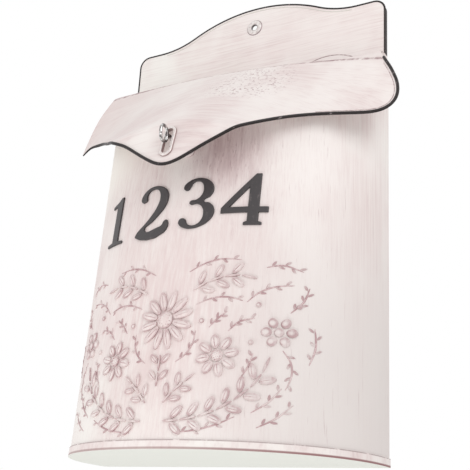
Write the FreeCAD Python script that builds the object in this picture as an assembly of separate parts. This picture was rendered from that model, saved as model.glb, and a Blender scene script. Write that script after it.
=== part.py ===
import FreeCAD, Part
import math
import os

# Wall mounted post box in thin painted sheet steel, in millimetres.
# The wall is the plane Y = 0, the box stands out from it towards -Y, and Z is up.
# "Depth" below is the distance out from the front face of the back plate.

# Sheet and fits
sheet = 0.8
seat_gap = 0.1
hinge_play = 0.08

# Back plate
plate_half_width = 129.0
plate_standoff = 6.0
shoulder_height = 398.6
shoulder_reach = 104.0
shoulder_corner = 10.0
crown_rise = 23.9
crown_height = shoulder_height + crown_rise
crown_radius = 150.0

# Body
body_half_width = 130.0
foot_depth = 120.4
upper_depth = 86.7
upper_depth_height = 300.0
side_fullness = 2.04
front_fullness = 2.23
rim_drop = 5.0
rim_top_limit = 333.0

# Relief pressed out of the body
relief_rise = 1.1
relief_root = 0.4
stem_width = 1.7
leaf_gap = 0.9
leaf_lean = 44.0
middle_bloom_height = 94.0
middle_bloom_reach = 23.0
side_bloom_reach = 15.5
small_bloom_reach = 11.5

# Bottom pan
pan_rim_height = 6.6

# Hinge
wire_radius = 1.2
hinge_height = 341.0
hinge_depth = 2.4
leaf_middle = 76.0
leaf_width = 52.0
leaf_arch_radius = 50.0
leaf_arch_rise = 13.0
knuckle_gap = 0.6
wire_length = 256.0
lid_knuckle_reach = 127.0

# Lid sheet
lid_fall_start = 30.0
lid_fall_top = 341.1
lid_fall_slope = -1.0
lid_flange_slope = -0.06
tongue_tip_height = 210.8
tongue_drop = 39.8
tongue_bend_depth = lid_fall_start + lid_fall_top - tongue_tip_height - tongue_drop
tongue_slope = -4.0
bend_softness = 1.0
lid_bow = 75.0
bow_reach = 49.0
bow_power = 2.6
half_span = 150.0
lid_skew_drop = 9.6
skew_reach = 12.0
lid_skew_side = 4.0
lid_sheet_start = 6.0
section_reach = 162.0
section_count = 13
profile_end = tongue_bend_depth + 19.5
outline_steps = 110

# Lid outline, seen from the front; the two wings differ, as the sheet is askew
right_wing_low = 268.5
right_wing_reach = 153.5
left_wing_low = 261.0
right_wing_rise = 57.7
left_wing_rise = 50.2
left_wing_reach = 141.0

# Slot in the lid's tongue and its eyelet
slot_rise = 20.9
slot_height = tongue_tip_height + slot_rise
slot_depth = tongue_bend_depth + (tongue_drop - slot_rise) / -tongue_slope
slot_half_width = 3.4
slot_length = 23.8
slot_rim_width = 2.5
slot_rim_height = 1.6
slot_barrel_wall = 0.5

# Hanging eyelet
eyelet_drop = 19.9
eyelet_height = crown_height - eyelet_drop
eyelet_radius = 8.0
eyelet_bore_radius = 2.8
eyelet_dome = 1.4
eyelet_barrel_wall = 0.5

# Turning eye that holds the lid shut
eye_rise = 4.3
eye_height = slot_height + eye_rise
eye_standoff = 6.675
eye_depth = slot_depth + eye_standoff
eye_wire_radius = 1.25
eye_bend_radius = 4.25
eye_straight = 4.5
shank_radius = 2.0
shank_play = 0.05
collar_radius = 3.2
collar_length = 2.0
bush_radius = 3.3
bush_flange_radius = 4.8
bush_flange_length = 2.0
bush_nose = 2.5
bush_tail = 4.0
backing_washer_radius = 7.0
backing_washer_length = 1.2
clip_radius = 4.2
clip_length = 1.0
shank_tail = 1.6


def point(x, depth, z):
    return FreeCAD.Vector(x, -(depth + plate_standoff), z)


def block(x0, x1, depth0, depth1, z0, z1):
    low = FreeCAD.Vector(x0, -(depth1 + plate_standoff), z0)
    return Part.makeBox(x1 - x0, depth1 - depth0, z1 - z0, low)


def rod(x, depth, z, radius, length, direction):
    return Part.makeCylinder(radius, length, point(x, depth, z), direction)


def spline(points):
    curve = Part.BSplineCurve()
    curve.interpolate(Points=points, Parameters=[float(i) for i in range(len(points))])
    return curve.toShape()


OUTWARD = FreeCAD.Vector(0, -1, 0)
ALONG_X = FreeCAD.Vector(1, 0, 0)


# Back plate: a pan pressed from sheet, its edge turned back towards the wall
def plate_outline(inset):
    """Closed wire of the serpentine outline in the wall plane, drawn in by an inset."""
    half = plate_half_width - inset
    foot = sheet + inset
    top = shoulder_height - inset
    crown_centre = crown_height - crown_radius
    crown = crown_radius - inset
    rise = shoulder_height - crown_centre
    # The dip's radius lets it meet the crown's arc and the shoulder without a corner.
    dip = (shoulder_reach ** 2 + rise ** 2 - crown_radius ** 2) / (2 * (crown_radius - rise))
    dip_centre = shoulder_height + dip
    lean = math.atan2(shoulder_reach, dip_centre - crown_centre)
    meet_x = crown * math.sin(lean)
    meet_z = crown_centre + crown * math.cos(lean)
    mid = lean / 2
    dip_r = dip + inset
    corner = shoulder_corner - inset

    def at(x, z):
        return FreeCAD.Vector(x, 0, z)

    def side(s):
        half_turn = corner * (1 - math.sqrt(0.5))
        knee = Part.Arc(
            at(s * half, top - corner),
            at(s * (half - half_turn), top - half_turn),
            at(s * (half - corner), top),
        ).toShape()
        flat = Part.makeLine(at(s * (half - corner), top), at(s * shoulder_reach, top))
        dip_mid = at(
            s * (shoulder_reach - dip_r * math.sin(mid)),
            dip_centre - dip_r * math.cos(mid),
        )
        hollow = Part.Arc(at(s * shoulder_reach, top), dip_mid, at(s * meet_x, meet_z)).toShape()
        upright = Part.makeLine(at(s * half, foot), at(s * half, top - corner))
        return [upright, knee, flat, hollow]

    crown_arc = Part.Arc(
        at(-meet_x, meet_z), at(0, crown_centre + crown), at(meet_x, meet_z)
    ).toShape()
    base = Part.makeLine(at(-half, foot), at(half, foot))
    edges = side(1) + side(-1) + [crown_arc, base]
    return Part.Wire(Part.__sortEdges__(edges))


def back_plate():
    outer = Part.Face(plate_outline(0)).extrude(OUTWARD * plate_standoff)
    hollow = Part.Face(plate_outline(sheet)).extrude(OUTWARD * (plate_standoff - sheet))
    plate = outer.cut(hollow)
    hole = rod(
        0, -plate_standoff, eyelet_height,
        eyelet_bore_radius + eyelet_barrel_wall + seat_gap / 2, plate_standoff, OUTWARD,
    )
    return plate.cut(hole)


# Hanging eyelet: a ring clinched through the plate
def hanging_eyelet():
    """Revolved section: domed front ring, barrel through the plate, clinched rear lip."""
    bore = eyelet_bore_radius
    barrel = bore + eyelet_barrel_wall
    lip = barrel + 1.6
    lip_depth = -sheet - eyelet_barrel_wall
    outline = [
        (bore, lip_depth), (lip, lip_depth), (lip, -sheet), (barrel, -sheet),
        (barrel, 0), (eyelet_radius, 0),
    ]
    corners = [point(r, d, eyelet_height) for r, d in outline]
    crest = point((bore + eyelet_radius) / 2, eyelet_dome, eyelet_height)
    inner = point(bore, eyelet_barrel_wall, eyelet_height)
    edges = [Part.makeLine(a, b) for a, b in zip(corners, corners[1:])]
    edges.append(Part.Arc(corners[-1], crest, inner).toShape())
    edges.append(Part.makeLine(inner, corners[0]))
    face = Part.Face(Part.Wire(edges))
    return face.revolve(point(0, 0, eyelet_height), OUTWARD, 360)


# Body: one sheet bent round the front in a half oval, leaning back towards the top
def body_depth(z):
    return foot_depth + (upper_depth - foot_depth) * z / upper_depth_height


def body_wire(z, offset):
    """Closed plan outline at a height, grown outwards by an offset."""
    half = body_half_width + offset
    depth = body_depth(z) + offset
    steps = 28
    curve = []
    for i in range(steps + 1):
        turn = math.pi * i / steps
        c = math.cos(turn)
        x = half * math.copysign(abs(c) ** (2 / side_fullness), c)
        out = depth * max(math.sin(turn), 0) ** (2 / front_fullness)
        curve.append(point(x, out, z))
    wall_right = point(half, -plate_standoff, z)
    wall_left = point(-half, -plate_standoff, z)
    return Part.Wire([
        Part.makeLine(wall_right, curve[0]),
        spline(curve),
        Part.makeLine(curve[-1], wall_left),
        Part.makeLine(wall_left, wall_right),
    ])


def body_block(z0, z1, offset):
    return Part.makeLoft([body_wire(z0, offset), body_wire(z1, offset)], True, True)


def rim_profile():
    """Side view of the body's upper rim, which runs a set drop below the lid."""
    depth = body_depth(0.9 * upper_depth_height)
    steps = 10
    line = []
    for i in range(steps + 1):
        out = depth * i / steps
        share = max(1 - (out / depth) ** front_fullness, 0)
        x = body_half_width * share ** (1 / side_fullness)
        lid = min(lid_height(x, out), lid_height(-x, out))
        line.append(point(0, out, min(lid - sheet - rim_drop, rim_top_limit)))
    ahead = point(0, depth * 1.5, line[-1].z)
    return line, ahead


def above_rim():
    line, ahead = rim_profile()
    top = 2 * hinge_height
    back = FreeCAD.Vector(0, 1, line[0].z)
    corners = [back] + line + [ahead]
    corners += [FreeCAD.Vector(0, ahead.y, top), FreeCAD.Vector(0, back.y, top), back]
    face = Part.Face(Part.makePolygon(corners))
    solid = face.extrude(FreeCAD.Vector(4 * body_half_width, 0, 0))
    solid.translate(FreeCAD.Vector(-2 * body_half_width, 0, 0))
    return solid


# Relief of blooms and sprigs pressed out of the body's front
def turned(x, z, angle):
    turn = math.radians(angle)
    return (x * math.cos(turn) - z * math.sin(turn), x * math.sin(turn) + z * math.cos(turn))


def bloom(x, z, reach, petals, start):
    """A round eye with oval petals standing off it: place, length, width and angle of each."""
    eye = 0.28 * reach
    forms = [(x, z, 2 * eye, 1.98 * eye, 0)]
    length = reach - eye - leaf_gap
    middle = eye + leaf_gap + length / 2
    for i in range(petals):
        angle = start + 360 * i / petals
        dx, dz = turned(middle, 0, angle)
        forms.append((x + dx, z + dz, length, 4.9 * middle / petals, angle))
    return forms


def sprig(joints, leaves, length, width):
    """A stem of slim ovals, with a pair of leaves on each of its first lengths."""
    forms = []
    for i, ((x0, z0), (x1, z1)) in enumerate(zip(joints, joints[1:])):
        run = math.hypot(x1 - x0, z1 - z0)
        heading = math.degrees(math.atan2(z1 - z0, x1 - x0))
        forms.append(((x0 + x1) / 2, (z0 + z1) / 2, run - leaf_gap, stem_width, heading))
        for side in (-1, 1) if i < leaves else ():
            angle = heading + side * leaf_lean
            root_x, root_z = turned(run / 2, side * (stem_width / 2 + leaf_gap), heading)
            half_x, half_z = turned(length / 2, 0, angle)
            forms.append((x0 + root_x + half_x, z0 + root_z + half_z, length, width, angle))
    return forms


def relief_layout():
    """Blooms, sprigs and berries in front view, the same on both sides of the middle."""
    half = bloom(44, 66, side_bloom_reach, 8, 12)
    half += bloom(83, 84, small_bloom_reach, 6, 0)
    outer = [(9, 19.5), (22, 20), (35, 22.5), (47, 27), (58, 34), (68, 43), (75, 54), (79, 66.5)]
    half += sprig(outer, 6, 11.5, 5.2)
    half += sprig([(20, 116), (31, 122), (43, 126), (55, 127), (67, 124)], 3, 11, 4.8)
    half += sprig([(7, 32), (14, 40), (22, 47), (30, 53.5)], 2, 9.5, 4.4)
    for x, z, size in ((66, 76, 3.6), (69, 104, 3.6), (30, 92, 3.4), (94, 104, 3.4)):
        half.append((x, z, 1.02 * size, size, 0))
    forms = half + [(-x, z, length, width, 180 - angle) for x, z, length, width, angle in half]
    forms += bloom(0, middle_bloom_height, middle_bloom_reach, 12, 15)
    forms += sprig([(0, 44), (0, 55), (0, 68)], 2, 9, 4.4)
    return forms


def front_depth(x, z, offset):
    """Depth of the body's front at a place, grown outwards by an offset."""
    half = body_half_width + offset
    share = max(1 - abs(x / half) ** side_fullness, 0)
    return (body_depth(z) + offset) * share ** (1 / front_fullness)


def boss(x, z, length, width, angle):
    """Oval boss that stands square on the body's front and roots in its sheet."""
    step = 0.5
    lean_x = (front_depth(x + step, z, 0) - front_depth(x - step, z, 0)) / (2 * step)
    lean_z = (front_depth(x, z + step, 0) - front_depth(x, z - step, 0)) / (2 * step)
    normal = FreeCAD.Vector(-lean_x, -1, -lean_z)
    normal.normalize()
    across, rise = turned(1, 0, angle)
    along_face = FreeCAD.Vector(across, -(lean_x * across + lean_z * rise), rise)
    along_face.normalize()
    foot = point(x, front_depth(x, z, 0), z) - normal * relief_root
    turn = FreeCAD.Rotation(along_face, normal.cross(along_face), normal, "ZXY")
    ellipse = Part.Ellipse(FreeCAD.Vector(0, 0, 0), length / 2, width / 2)
    solid = Part.Face(Part.Wire(ellipse.toShape())).extrude(FreeCAD.Vector(0, 0, relief_root + relief_rise))
    solid.Placement = FreeCAD.Placement(foot, turn)
    return solid


def body_shell():
    top = hinge_height
    shell = body_block(sheet, top, 0).cut(body_block(sheet, top, -sheet))
    shell = shell.cut(above_rim())
    depth = body_depth(eye_height)
    hole = rod(0, depth - 5, eye_height, bush_radius + seat_gap, 10, OUTWARD)
    return shell.cut(hole).fuse([boss(*form) for form in relief_layout()])


# Bottom pan: a shallow tray seamed round the outside of the body
def bottom_pan():
    grow = seat_gap + sheet
    tray = body_block(0, pan_rim_height, grow)
    hollow = body_block(sheet, pan_rim_height + 1, seat_gap)
    pan = tray.cut(hollow)
    # The pan has no wall along the back, where the plate's foot stands in it.
    return pan


# Hinge leaves: arched plates on the back plate, each rolled round the hinge wire
def hinge_leaf(side):
    bore = wire_radius + seat_gap / 2
    outer = bore + sheet
    middle = side * leaf_middle
    x0 = middle - leaf_width / 2
    x1 = middle + leaf_width / 2
    arch_top = hinge_height + leaf_arch_rise
    arch = rod(middle, 0, arch_top - leaf_arch_radius, leaf_arch_radius, sheet, OUTWARD)
    flat = block(x0, x1, 0, sheet, hinge_height - wire_radius / 2, arch_top + 1).common(arch)
    roll = rod(x0, hinge_depth, hinge_height, outer, leaf_width, ALONG_X)
    hollow = rod(x0 - 1, hinge_depth, hinge_height, bore, leaf_width + 2, ALONG_X)
    # The roll stops short of the flat, where the sheet's end shows.
    split = block(
        x0 - 1, x1 + 1, sheet, hinge_depth - wire_radius / 2,
        hinge_height + wire_radius / 2, hinge_height + outer + 1,
    )
    return roll.cut(split).fuse(flat).cut(hollow)


# Hinge wire
def hinge_wire():
    start = -wire_length / 2
    return rod(start, hinge_depth, hinge_height, wire_radius, wire_length, ALONG_X)


# Lid: a sheet bowed both ways, hinged along its straight rear edge
def lid_rear_height():
    return hinge_height + wire_radius + hinge_play + sheet


def soft_min(values, softness):
    low = min(values)
    total = sum(math.exp(-(v - low) / softness) for v in values)
    return low - softness * math.log(total)


def lid_height(x, depth):
    """Height of the lid's outer face above a place in plan."""
    clear = max(depth - lid_sheet_start, 0)
    bow = 1 - math.exp(-((clear / bow_reach) ** bow_power))
    skew = 1 - math.exp(-((clear / skew_reach) ** 2))
    flange = lid_rear_height() + lid_flange_slope * clear
    fall = lid_fall_top + lid_fall_slope * (depth - lid_fall_start)
    bend = lid_fall_top + lid_fall_slope * (tongue_bend_depth - lid_fall_start)
    tongue = bend + tongue_slope * (depth - tongue_bend_depth)
    share = x / half_span
    middle = soft_min([flange, fall, tongue], bend_softness)
    return middle - lid_bow * bow * share ** 2 - lid_skew_drop * skew * share


def lid_stations():
    """Depths the sections pass through, closer together near the two bends."""
    bends = (lid_fall_start - 2, tongue_bend_depth)
    depth = lid_sheet_start
    stations = []
    while depth < profile_end:
        stations.append(depth)
        near = min(abs(depth - b) for b in bends)
        depth += min(4.0, max(0.8, 0.35 * near))
    return stations + [profile_end]


def lid_section(x):
    """Closed wire across the sheet at one distance from the middle."""
    outer = []
    inner = []
    d = 0.05
    for i, depth in enumerate(lid_stations()):
        z = lid_height(x, depth)
        slope = (lid_height(x, depth + d) - lid_height(x, depth - d)) / (2 * d)
        across = (lid_height(x + d, depth) - lid_height(x - d, depth)) / (2 * d)
        # The sheet keeps its thickness where it also leans sideways.
        run = math.sqrt(1 + slope ** 2)
        wall = sheet * math.sqrt(1 + (across / run) ** 2)
        if i == 0:
            slope = 0
            run = 1
            wall = sheet
        outer.append(point(x, depth, z))
        inner.append(point(x, depth + wall * slope / run, z - wall / run))
    return Part.Wire([
        spline(outer),
        Part.makeLine(outer[-1], inner[-1]),
        spline(inner[::-1]),
        Part.makeLine(inner[0], outer[0]),
    ])


def right_ogee():
    """The right wing's outline before the skew, as distances from the middle and heights."""
    low = right_wing_low
    tip = tongue_tip_height
    reach = right_wing_reach
    unit = (low - tip) / right_wing_rise
    return [
        (0, tip), (14, tip + 4 * unit), (32, tip + 15 * unit), (50, tip + 25.5 * unit),
        (66, tip + 36.5 * unit), (84, low - 9.5 * unit), (104, low - 2.5 * unit), (124, low),
        (reach - 13, low + 2), (reach - 3, low + 9), (reach, low + 21.5),
        (reach - 5.5, low + 39.5), (reach - 15.5, low + 57.5), (body_half_width, low + 72),
    ]


def left_ogee():
    low = left_wing_low
    tip = tongue_tip_height
    reach = left_wing_reach
    unit = (low - tip) / left_wing_rise
    return [
        (0, tip), (14, tip + 5.1 * unit), (32, tip + 16 * unit), (44, tip + 23.3 * unit),
        (54, tip + 27.2 * unit), (60, tip + 29.7 * unit), (66, tip + 33.2 * unit),
        (74, tip + 36.1 * unit), (84, low - 8.8 * unit), (96, low - 1.8 * unit),
        (108, low + 4), (reach - 21, low + 6.5), (reach - 11, low + 8.2),
        (reach - 7, low + 4.6), (reach - 4, low - 0.8), (reach - 1.7, low + 6.2),
        (reach - 0.7, low + 16.4), (reach, low + 33.4), (reach - 1, low + 50.7),
        (reach - 2.8, low + 60.7), (reach - 5, low + 69.6), (reach - 7.4, low + 80.6),
        (body_half_width, low + 83),
    ]


def lid_edge(side):
    """Points of the lid's outline from the tongue's tip to the wing's rear end."""
    ogee = right_ogee() if side > 0 else left_ogee()
    low = right_wing_low if side > 0 else left_wing_low
    points = []
    for x, z in ogee:
        fade = min(1, (lid_rear_height() - z) / (lid_rear_height() - low))
        share = x / half_span
        sideways = max(side, 0) * lid_skew_side * share ** 2 * fade
        moved = z - side * lid_skew_drop * share * fade
        points.append(FreeCAD.Vector(side * x + sideways, 0, moved))
    return points


def lid_blank():
    """Prism of the lid's front view, through the whole depth."""
    right = lid_edge(1)
    left = lid_edge(-1)
    lower = spline(left[::-1] + right[1:]).discretize(outline_steps)
    top = 1.1 * hinge_height
    above_right = FreeCAD.Vector(right[-1].x, 0, top)
    above_left = FreeCAD.Vector(left[-1].x, 0, top)
    wire = Part.makePolygon([above_left] + lower + [above_right, above_left])
    return Part.Face(wire).extrude(OUTWARD * (profile_end + 3 * plate_standoff))


def knuckle_spans():
    """The lengths of the rear edge that are rolled round the wire."""
    near = leaf_middle - leaf_width / 2 - knuckle_gap
    far = leaf_middle + leaf_width / 2 + knuckle_gap
    end = lid_knuckle_reach
    return [(-end, -far), (-near, near), (far, end)]


def lid_knuckle(x0, x1):
    """Rolled end of the sheet: a flat that carries on into the roll, one bent strip."""
    bore = wire_radius + hinge_play
    outer = bore + sheet

    def at(radius, angle):
        turn = math.radians(angle)
        out = hinge_depth + radius * math.cos(turn)
        return point(x0, out, hinge_height + radius * math.sin(turn))

    flat_top = point(x0, lid_sheet_start, hinge_height + outer)
    flat_under = point(x0, lid_sheet_start, hinge_height + bore)
    wire = Part.Wire([
        Part.makeLine(at(outer, 90), flat_top),
        Part.makeLine(flat_top, flat_under),
        Part.makeLine(flat_under, at(bore, 90)),
        Part.Arc(at(bore, 90), at(bore, 210), at(bore, 330)).toShape(),
        Part.makeLine(at(bore, 330), at(outer, 330)),
        Part.Arc(at(outer, 330), at(outer, 210), at(outer, 90)).toShape(),
    ])
    return Part.Face(wire).extrude(ALONG_X * (x1 - x0))


def slot_place():
    """Placement on the tongue's face, with local Z out of the lid and local Y up it."""
    normal = FreeCAD.Vector(lid_skew_drop / half_span, tongue_slope, 1)
    normal.normalize()
    up = normal.cross(ALONG_X)
    up.normalize()
    turn = FreeCAD.Rotation(up.cross(normal), up, normal, "ZYX")
    return FreeCAD.Placement(point(0, slot_depth, slot_height), turn)


def oblong(half_width, length, z0, z1):
    """Round-ended bar standing on the local XY plane, long along local Y."""
    run = length / 2 - half_width
    bar = Part.makeBox(2 * half_width, 2 * run, z1 - z0, FreeCAD.Vector(-half_width, -run, z0))
    for end in (-run, run):
        bar = bar.fuse(Part.makeCylinder(half_width, z1 - z0, FreeCAD.Vector(0, end, z0)))
    return bar.removeSplitter()


def lid():
    sections = []
    for i in range(section_count):
        x = section_reach * (2 * i / (section_count - 1) - 1)
        sections.append(lid_section(x))
    lid_sheet = Part.makeLoft(sections, True, False)
    lid_sheet = lid_sheet.common(lid_blank())
    for x0, x1 in knuckle_spans():
        lid_sheet = lid_sheet.fuse(lid_knuckle(x0, x1))
    grow = slot_barrel_wall + seat_gap / 2
    hole = oblong(slot_half_width + grow, slot_length + 2 * grow, -5, 5)
    hole.Placement = slot_place()
    return lid_sheet.cut(hole)


# Slot eyelet: an oblong ring pressed through the tongue
def slot_eyelet():
    wall = slot_barrel_wall
    half = slot_half_width
    front = oblong(half + slot_rim_width, slot_length + 2 * slot_rim_width, seat_gap, slot_rim_height)
    bead = [e for e in front.Edges if abs(e.BoundBox.ZMin - slot_rim_height) < 0.01]
    bead = [e for e in bead if abs(e.BoundBox.ZMax - slot_rim_height) < 0.01]
    front = front.makeFillet(0.8 * (slot_rim_height - seat_gap), bead)
    barrel = oblong(half + wall, slot_length + 2 * wall, -sheet - seat_gap - wall, slot_rim_height / 2)
    back = oblong(half + 3 * wall, slot_length + 6 * wall, -sheet - seat_gap - wall, -sheet - seat_gap)
    hole = oblong(half, slot_length, -5, 5)
    ring = front.fuse(barrel).fuse(back).cut(hole)
    ring.Placement = slot_place()
    return ring


# Turning eye and its bush
def bush_front():
    """Depth of the bush's front end."""
    return body_depth(eye_height) + bush_nose + bush_flange_length


def bush_back():
    return body_depth(eye_height) - sheet - bush_tail


def turn_eye():
    """Oval wire loop on a round shank, with a collar that stops it against the bush."""
    half_run = eye_straight / 2
    reach = eye_bend_radius + 2 * eye_wire_radius
    near = eye_depth - reach
    far = eye_depth + reach
    bends = []
    for side in (-1, 1):
        middle = point(0, eye_depth, eye_height + side * half_run)
        ring = Part.makeTorus(eye_bend_radius, eye_wire_radius, middle, ALONG_X)
        low = eye_height + min(side * half_run, side * 2 * reach)
        high = eye_height + max(side * half_run, side * 2 * reach)
        bends.append(ring.common(block(-reach, reach, near, far, low, high)))
    eye = bends[0].fuse(bends[1])
    up = FreeCAD.Vector(0, 0, 1)
    for depth in (eye_depth - eye_bend_radius, eye_depth + eye_bend_radius):
        eye = eye.fuse(rod(0, depth, eye_height - half_run, eye_wire_radius, eye_straight, up))
    start = bush_back() - clip_length - seat_gap - shank_tail
    shank = rod(0, start, eye_height, shank_radius, eye_depth - eye_bend_radius - start, OUTWARD)
    collar = rod(0, bush_front() + seat_gap, eye_height, collar_radius, collar_length, OUTWARD)
    return eye.fuse(shank).fuse(collar).removeSplitter()


def latch_bush():
    """Flanged bush through the body, its flange dished to the body's curve."""
    start = bush_back()
    barrel = rod(0, start, eye_height, bush_radius, bush_front() - start, OUTWARD)
    root = body_depth(eye_height) - 3
    flange = rod(0, root, eye_height, bush_flange_radius, bush_front() - root, OUTWARD)
    flange = flange.cut(body_block(sheet, hinge_height, seat_gap / 2))
    bore = rod(0, start - 1, eye_height, shank_radius + shank_play, 40, OUTWARD)
    return barrel.fuse(flange).cut(bore)


def latch_backing_washer():
    """Washer inside the body, dished to the sheet, that the bush is peened over."""
    root = body_depth(eye_height) - sheet - backing_washer_length - 1.2
    ring = rod(0, root, eye_height, backing_washer_radius, 5, OUTWARD)
    ring = ring.common(body_block(sheet, hinge_height, -sheet - seat_gap / 2))
    bore = rod(0, root - 1, eye_height, bush_radius + seat_gap / 2, 10, OUTWARD)
    return ring.cut(bore)


def shank_clip():
    """Spring ring on the shank's inner end."""
    start = bush_back() - seat_gap - clip_length
    ring = rod(0, start, eye_height, clip_radius, clip_length, OUTWARD)
    bore = rod(0, start - 1, eye_height, shank_radius + seat_gap / 4, clip_length + 2, OUTWARD)
    return ring.cut(bore)


def export(name, shape):
    assert shape.isValid(), name
    print(name, len(shape.Solids), round(shape.Volume, 1))
    if len(shape.Solids) == 1:
        shape = shape.Solids[0]
    shape.exportStep("parts/" + name + ".step")


os.makedirs("parts", exist_ok=True)
export("back_plate", back_plate())
export("hanging_eyelet", hanging_eyelet())
export("body_shell", body_shell())
export("bottom_pan", bottom_pan())
export("hinge_leaf_right", hinge_leaf(1))
export("hinge_leaf_left", hinge_leaf(-1))
export("hinge_wire", hinge_wire())
export("lid", lid())
export("slot_eyelet", slot_eyelet())
export("turn_eye", turn_eye())
export("latch_bush", latch_bush())
export("latch_backing_washer", latch_backing_washer())
export("shank_clip", shank_clip())
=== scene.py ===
import math

import bpy
from mathutils import Matrix, Vector


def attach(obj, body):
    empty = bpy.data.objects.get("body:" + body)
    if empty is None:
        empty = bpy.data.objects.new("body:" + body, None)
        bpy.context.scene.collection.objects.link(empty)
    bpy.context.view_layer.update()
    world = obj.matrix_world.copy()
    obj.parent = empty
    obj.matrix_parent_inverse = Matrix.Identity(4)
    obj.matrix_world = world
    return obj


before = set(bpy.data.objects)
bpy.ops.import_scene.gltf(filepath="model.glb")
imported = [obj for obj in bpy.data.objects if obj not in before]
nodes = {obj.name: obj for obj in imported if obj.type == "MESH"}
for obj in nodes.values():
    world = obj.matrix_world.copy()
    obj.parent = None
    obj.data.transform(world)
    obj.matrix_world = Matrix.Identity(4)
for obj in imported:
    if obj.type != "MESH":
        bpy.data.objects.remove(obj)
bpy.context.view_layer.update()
bpy.context.scene.view_settings.view_transform = "Standard"


# Back plate: sheet steel pressed with a turned-back edge, hung flat on the wall.
# Off-white paint brushed along it over a mauve coat, the turned edge painted black
# and rubbed through along its front corner.

def new_material(name):
    """Material with its shader and object coordinates ready to wire."""
    material = bpy.data.materials.new(name)
    material.use_nodes = True
    tree = material.node_tree
    shader = tree.nodes["Principled BSDF"]
    coords = tree.nodes.new("ShaderNodeTexCoord").outputs["Object"]
    return material, tree, shader, coords


def noise(tree, coords, stretch, detail=4.0, roughness=0.55, shift=(0, 0, 0), turn=(0, 0, 0)):
    """Noise value over stretched coordinates, in cycles per metre along each axis."""
    mapping = tree.nodes.new("ShaderNodeMapping")
    mapping.inputs["Scale"].default_value = stretch
    mapping.inputs["Location"].default_value = shift
    mapping.inputs["Rotation"].default_value = turn
    tree.links.new(coords, mapping.inputs["Vector"])
    texture = tree.nodes.new("ShaderNodeTexNoise")
    texture.inputs["Scale"].default_value = 1.0
    texture.inputs["Detail"].default_value = detail
    texture.inputs["Roughness"].default_value = roughness
    tree.links.new(mapping.outputs["Vector"], texture.inputs["Vector"])
    return texture.outputs["Fac"]


def step(tree, value, low, high, top=1.0):
    """Smooth rise of a value from 0 at low to top at high."""
    node = tree.nodes.new("ShaderNodeMapRange")
    node.interpolation_type = "SMOOTHSTEP"
    node.inputs["From Min"].default_value = low
    node.inputs["From Max"].default_value = high
    node.inputs["To Max"].default_value = top
    tree.links.new(value, node.inputs["Value"])
    return node.outputs["Result"]


def maths(tree, operation, a, b=None):
    node = tree.nodes.new("ShaderNodeMath")
    node.operation = operation
    for socket, value in zip(node.inputs, (a, b)):
        if value is None:
            continue
        if isinstance(value, (int, float)):
            socket.default_value = value
        else:
            tree.links.new(value, socket)
    return node.outputs["Value"]


def product(tree, a, b):
    return maths(tree, "MULTIPLY", a, b)


def total(tree, a, b):
    return maths(tree, "ADD", a, b)


def without(tree, value):
    """One less a value."""
    return maths(tree, "SUBTRACT", 1.0, value)


def blend(tree, factor, a, b):
    """Colour a turning to b as the factor rises."""
    node = tree.nodes.new("ShaderNodeMix")
    node.data_type = "RGBA"
    tree.links.new(factor, node.inputs["Factor"])
    for socket, value in ((node.inputs["A"], a), (node.inputs["B"], b)):
        if isinstance(value, tuple):
            socket.default_value = (*value, 1.0)
        else:
            tree.links.new(value, socket)
    return node.outputs["Result"]


def set_colour(tree, shader, colour):
    tree.links.new(colour, shader.inputs["Base Color"])


def split(tree, coords):
    """The X, Y and Z of a place, by name."""
    parts = tree.nodes.new("ShaderNodeSeparateXYZ")
    tree.links.new(coords, parts.inputs["Vector"])
    return parts.outputs


def relief_bump(tree, shader, height, strength, distance):
    bump = tree.nodes.new("ShaderNodeBump")
    bump.inputs["Strength"].default_value = strength
    bump.inputs["Distance"].default_value = distance
    tree.links.new(height, bump.inputs["Height"])
    tree.links.new(bump.outputs["Normal"], shader.inputs["Normal"])


WARM_WHITE = (0.84, 0.785, 0.765)
GREEN_WHITE = (0.85, 0.835, 0.80)
PINK_WASH = (0.72, 0.60, 0.59)
PINK_LINE = (0.58, 0.45, 0.45)
MAUVE = (0.40, 0.235, 0.25)
BLACK_PAINT = (0.021, 0.016, 0.016)


def brushed_paint(name, grain, pale, pink, shift, turn=(0, 0, 0)):
    """White paint dragged thin over a mauve coat. Returns the parts so a piece can add to it."""
    material, tree, shader, coords = new_material(name)
    lines = noise(tree, coords, grain, 3.0, 0.6, shift, turn)
    veil = noise(tree, coords, tuple(0.45 * s for s in grain), 3.0, 0.55, shift, turn)
    drift = noise(tree, coords, (8, 8, 6), 2.0, 0.5, shift)
    cloud = noise(tree, coords, (16, 16, 10), 3.0, 0.55, tuple(s + 3 for s in shift))
    base = blend(tree, step(tree, drift, 0.44, 0.62, pale), WARM_WHITE, GREEN_WHITE)
    dragged = total(tree, step(tree, veil, 0.34, 0.70, 0.5), 0.5)
    thin = product(tree, step(tree, cloud, 0.36, 0.68), dragged)
    colour = blend(tree, product(tree, thin, pink), base, PINK_WASH)
    hair_share = total(tree, product(tree, thin, 0.30), 0.14)
    hair = product(tree, step(tree, lines, 0.46, 0.70), hair_share)
    colour = blend(tree, hair, colour, PINK_LINE)
    coarser = tuple(0.55 * s for s in grain)
    scratch = noise(tree, coords, coarser, 4.0, 0.62, tuple(s + 8 for s in shift), turn)
    scratch = product(tree, step(tree, scratch, 0.63, 0.72), step(tree, cloud, 0.46, 0.62, 0.30))
    colour = blend(tree, scratch, colour, MAUVE)
    set_colour(tree, shader, colour)
    shader.inputs["Roughness"].default_value = 0.5
    shader.inputs["Specular IOR Level"].default_value = 0.3
    relief_bump(tree, shader, total(tree, lines, veil), 0.25, 0.0003)
    return material, tree, shader, coords, colour


def set_material(name, material):
    """Gives a node of the frame one material all over."""
    for s in nodes[name].material_slots:
        s.material = material


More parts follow.
